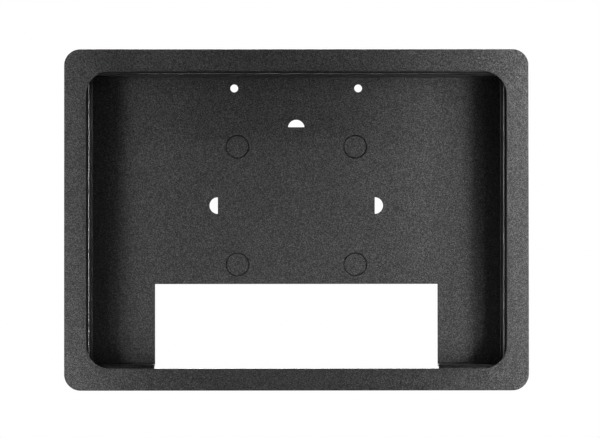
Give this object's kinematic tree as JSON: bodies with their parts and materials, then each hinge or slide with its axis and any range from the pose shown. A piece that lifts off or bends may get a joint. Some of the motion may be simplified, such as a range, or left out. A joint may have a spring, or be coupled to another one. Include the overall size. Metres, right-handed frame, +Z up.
{
  "type": "recessed tablet wall mount tray",
  "caption": "Black folded steel tray behind a flat face frame, with blind bosses on a 75 mm square, screw holes, half round cut-outs and a wide cable notch.",
  "frame": {"origin": "centre of the 75 mm square of bosses, in the plane of the bosses' rear ends", "axes": "+X to the right seen from the front, +Y into the wall, +Z up"},
  "size_m": [0.294, 0.0288, 0.216],
  "materials": {
    "powder_coat": "black fine-textured satin powder coat on sheet steel",
    "boss_coat": "the same black powder coat on turned steel"
  },
  "bodies": {
    "root": {"face_frame": "powder_coat", "back_tray": "powder_coat", "vesa_boss_upper_left": "boss_coat", "vesa_boss_upper_right": "boss_coat", "vesa_boss_lower_left": "boss_coat", "vesa_boss_lower_right": "boss_coat"}
  },
  "joints": []
}
